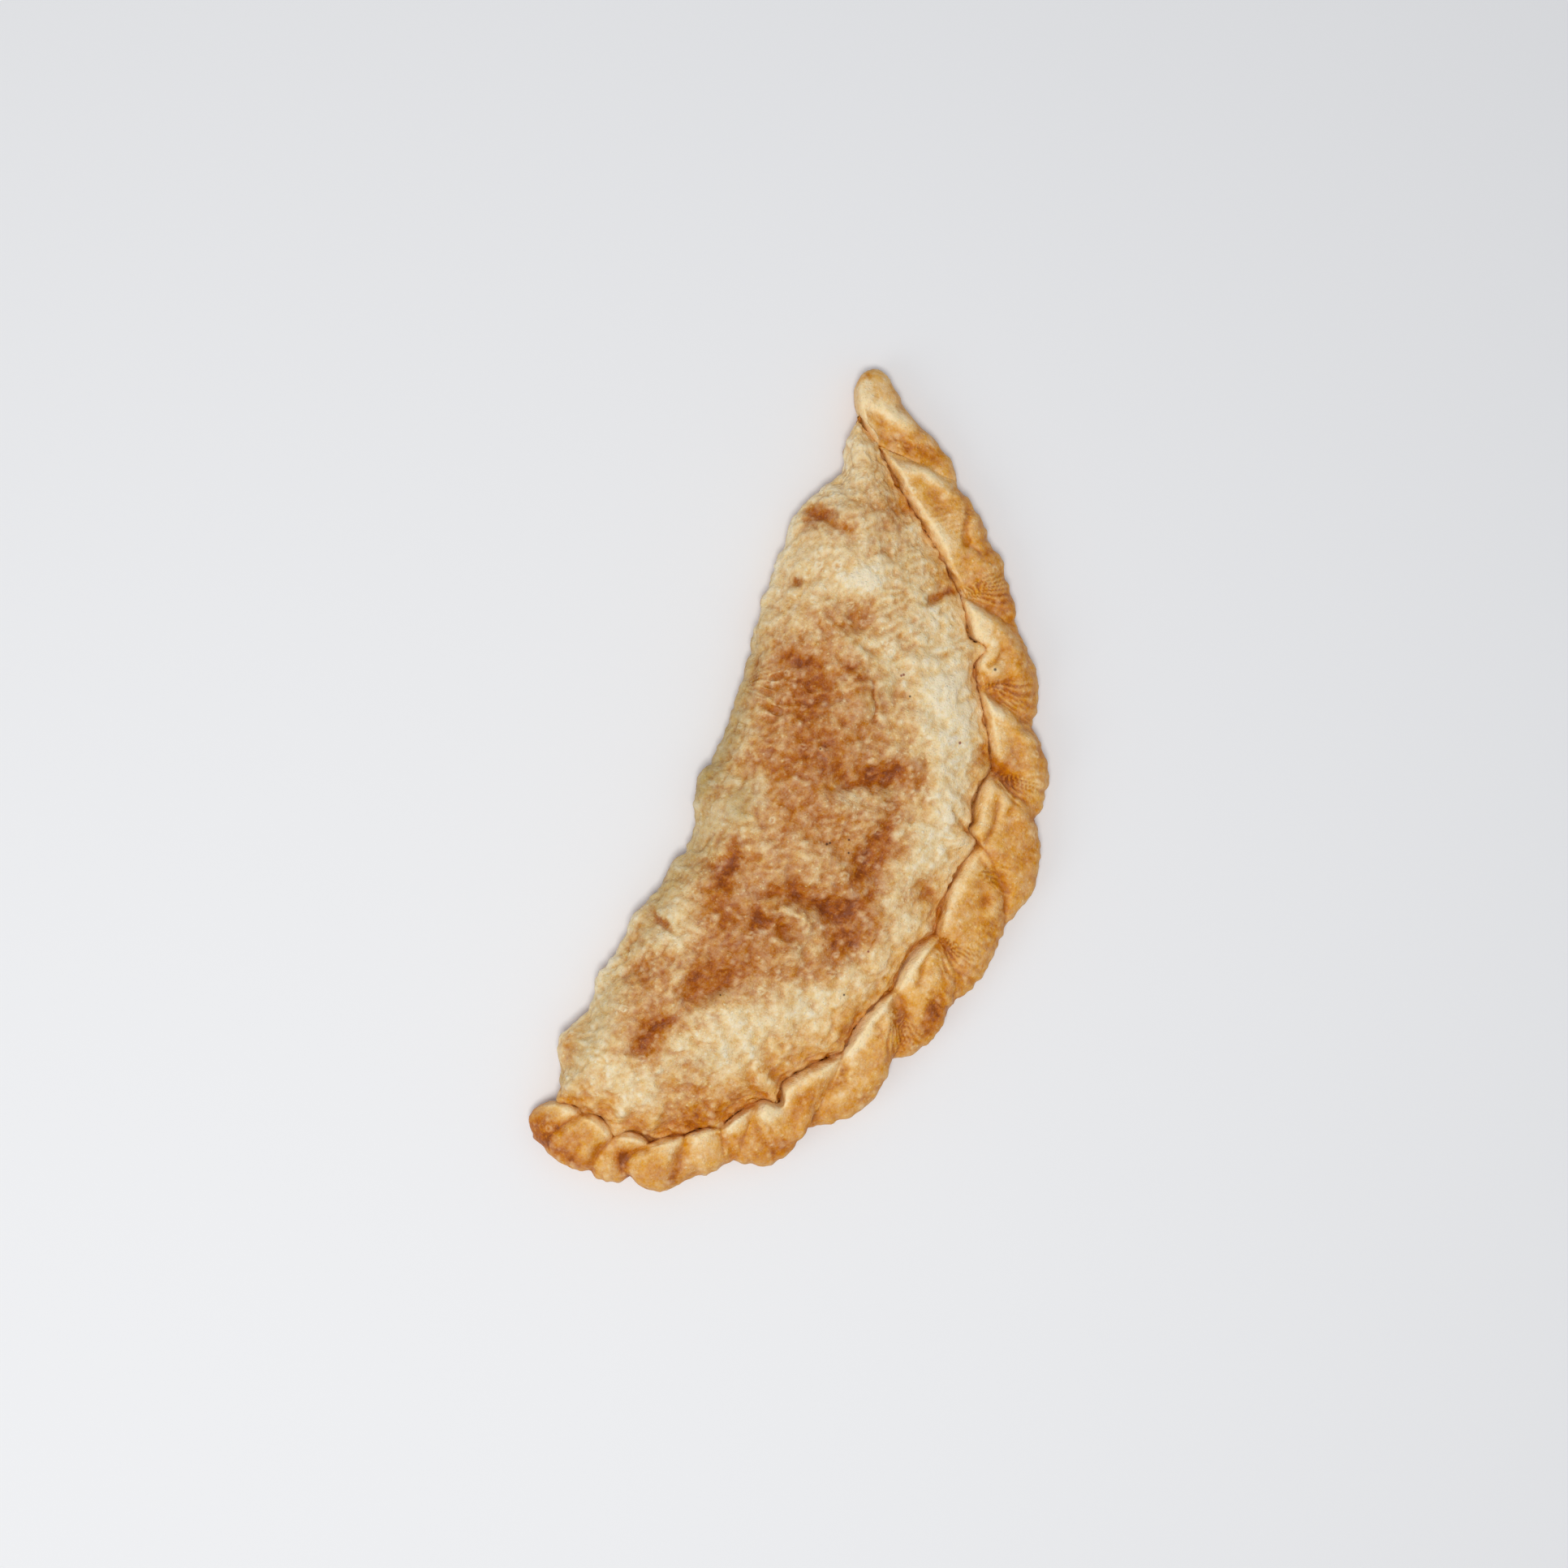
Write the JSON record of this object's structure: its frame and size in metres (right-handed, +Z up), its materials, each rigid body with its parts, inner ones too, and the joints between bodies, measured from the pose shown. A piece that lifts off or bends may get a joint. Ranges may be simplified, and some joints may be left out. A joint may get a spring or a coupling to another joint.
{
  "type": "khuushuur",
  "caption": "Half-moon fried dough pasty, filled and folded along its long side, with a rope of overlapping crimped pleats round the curved side from a sharp tip to a blunt knob.",
  "frame": {"origin": "middle of the outline seen from above, at the height of the surface that the pasty rests on", "axes": "+X along the folded side towards the sharp tip, +Y towards the folded side, away from the crimped rope, +Z up"},
  "size_m": [0.187, 0.0819, 0.0184],
  "materials": {
    "fried_dough": null
  },
  "bodies": {
    "root": {"khuushuur": "fried_dough"}
  },
  "joints": []
}
